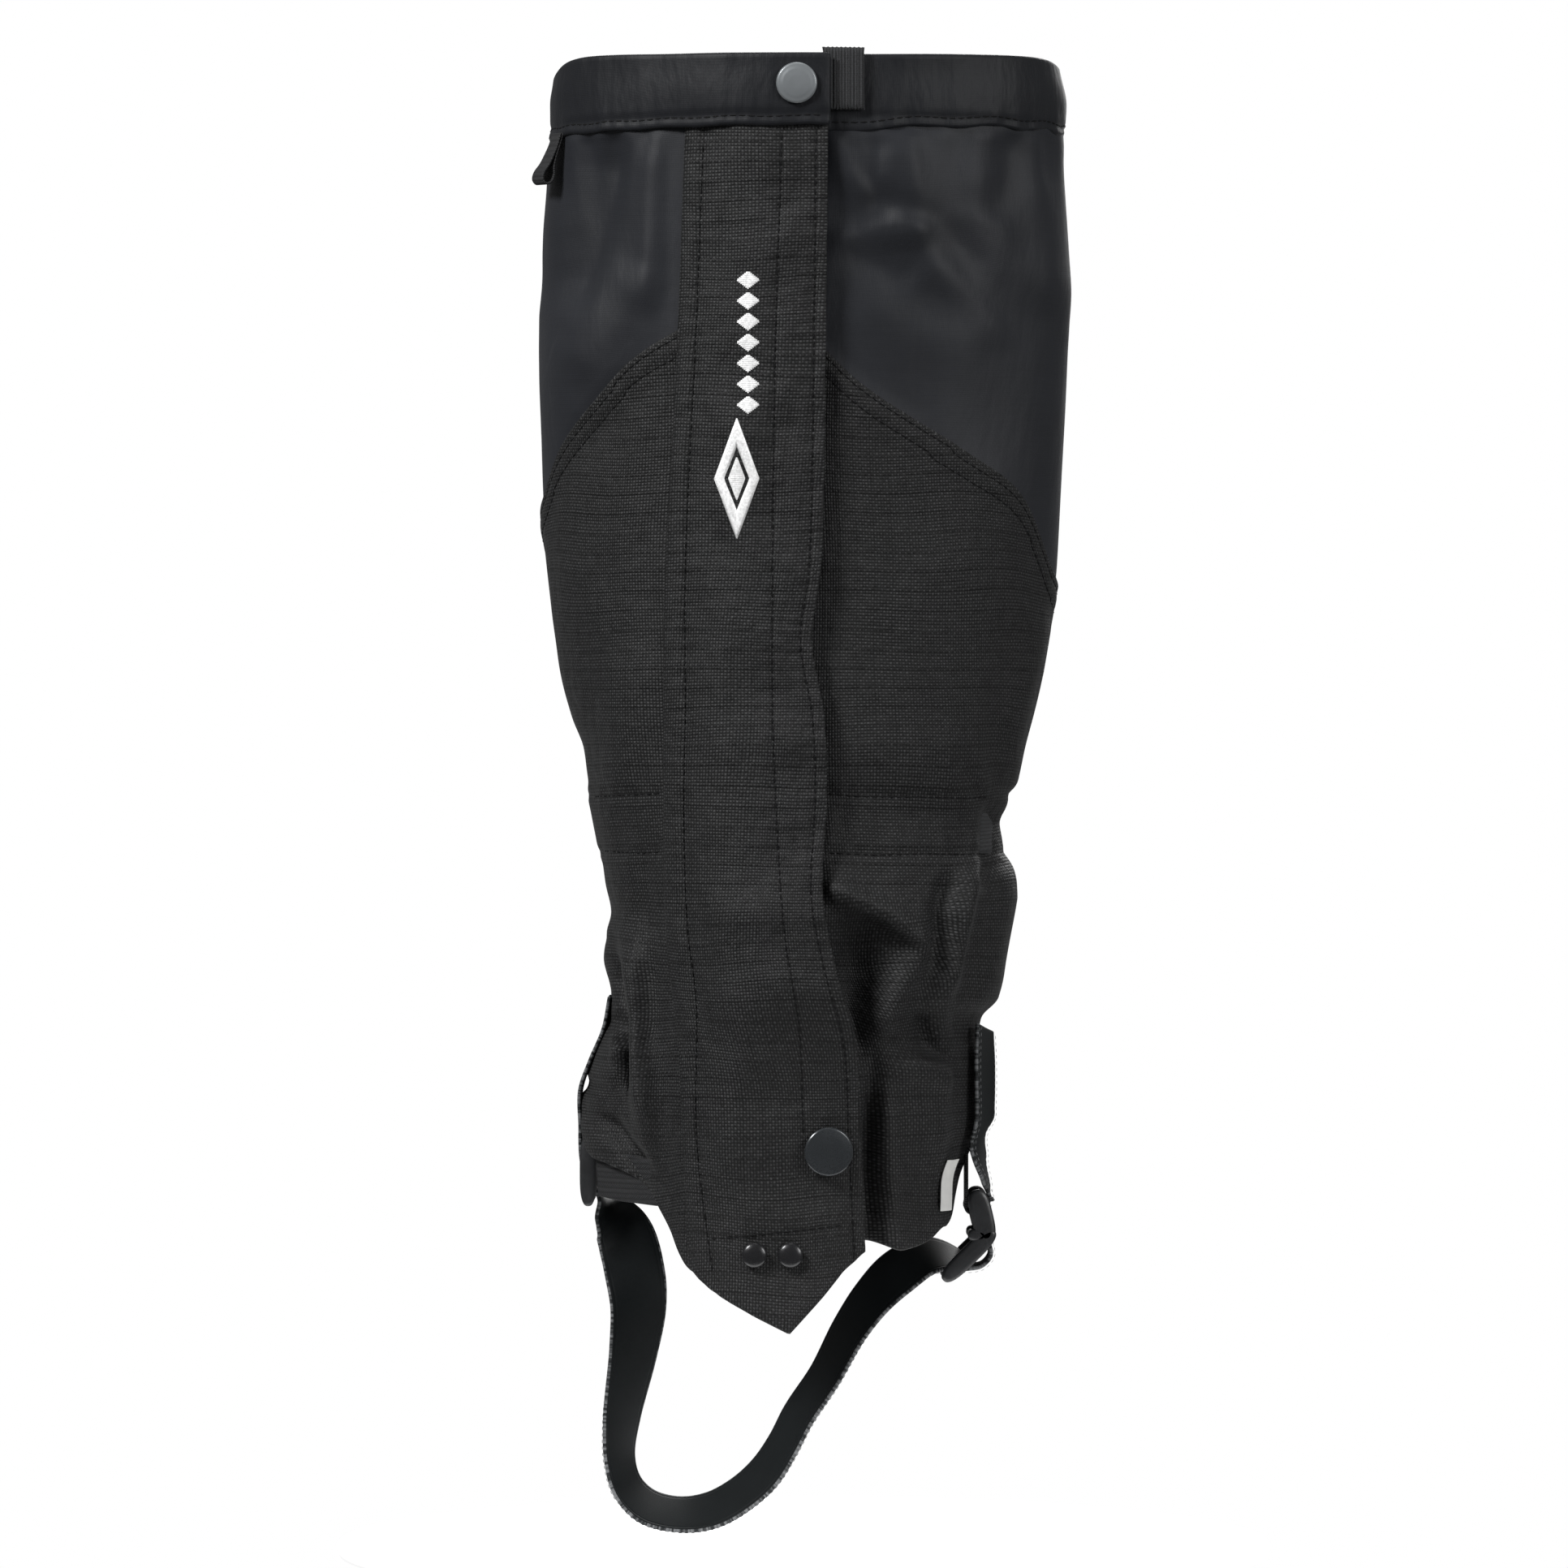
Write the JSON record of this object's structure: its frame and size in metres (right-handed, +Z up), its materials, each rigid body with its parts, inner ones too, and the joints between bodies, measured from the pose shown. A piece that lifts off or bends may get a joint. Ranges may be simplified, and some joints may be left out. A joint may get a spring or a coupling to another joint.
{
  "type": "hiking gaiter",
  "caption": "Black knee-high cloth gaiter with a front flap on hook tape and press studs, elastic ankle, lace hook and an under-boot strap.",
  "frame": {"origin": "on the leg's axis, at mid height of the ankle elastic", "axes": "+Z up the leg, -Y faces forward, +X to the right of a viewer in front"},
  "size_m": [0.1721, 0.1244, 0.4779],
  "materials": {
    "shell_nylon": "smooth coated nylon, soft sheen",
    "ripstop": "matt ripstop weave",
    "elastic": "ribbed woven elastic",
    "tape": "hook and loop tape",
    "lining": "plain lining",
    "snap_metal": "gloss gunmetal",
    "dark_metal": "gloss black",
    "strap": "satin polyurethane coating",
    "webbing": "coarse woven webbing",
    "buckle_plastic": "moulded nylon, satin",
    "label": "blank satin label"
  },
  "bodies": {
    "shell": {"upper_panel_left": "shell_nylon", "upper_panel_right": "shell_nylon", "lower_panel_left": "ripstop", "lower_panel_right": "ripstop", "top_hem_left": "shell_nylon", "top_hem_right": "shell_nylon", "placket": "ripstop", "loop_tape": "tape", "flap_seam_strip": "ripstop", "top_snap_stud": "snap_metal", "top_snap_post": "snap_metal", "low_snap_stud": "snap_metal", "low_snap_post": "snap_metal", "ankle_elastic": "elastic", "ankle_channel_lining": "lining", "top_elastic": "elastic", "back_seam_tape_upper": "tape", "back_seam_tape_lower": "tape", "top_elastic_tab": "elastic", "care_label": "label"},
    "flap": {"front_flap": "ripstop", "flap_lining": "lining", "top_hem_front": "shell_nylon", "hook_tape": "tape", "top_snap_cap": "snap_metal", "top_snap_socket": "snap_metal", "low_snap_cap": "snap_metal", "low_snap_socket": "snap_metal", "lace_hook": "dark_metal", "hook_rivet_left": "dark_metal", "hook_rivet_right": "dark_metal"},
    "stirrup": {"instep_strap": "strap", "left_webbing": "webbing", "right_webbing": "webbing"},
    "buckle_left": {"left_buckle": "buckle_plastic"},
    "buckle_right": {"right_buckle": "buckle_plastic"},
    "pull": {"side_pull": "webbing"}
  },
  "joints": [
    {"name": "flap_open", "type": "hinge", "parent": "shell", "child": "flap", "pos_m": [-0.036, -0.04925, 0], "axis": [0, 0, -1], "range_deg": [0, 120]},
    {"name": "strap_swing", "type": "hinge", "parent": "shell", "child": "stirrup", "pos_m": [0, 0, -0.103], "axis": [1, 0, 0], "range_deg": [-20, 20]},
    {"name": "left_buckle_tilt", "type": "hinge", "parent": "stirrup", "child": "buckle_left", "pos_m": [-0.0694, 0, -0.112], "axis": [0, 1, 0], "range_deg": [0, 12]},
    {"name": "right_buckle_tilt", "type": "hinge", "parent": "stirrup", "child": "buckle_right", "pos_m": [0.0545, 0, -0.133], "axis": [0, -1, 0], "range_deg": [0, 12]},
    {"name": "side_pull_lift", "type": "hinge", "parent": "shell", "child": "pull", "pos_m": [-0.0786, -0.0148, 0.2215], "axis": [-0.2545, 0.9671, 0], "range_deg": [0, 60]}
  ]
}
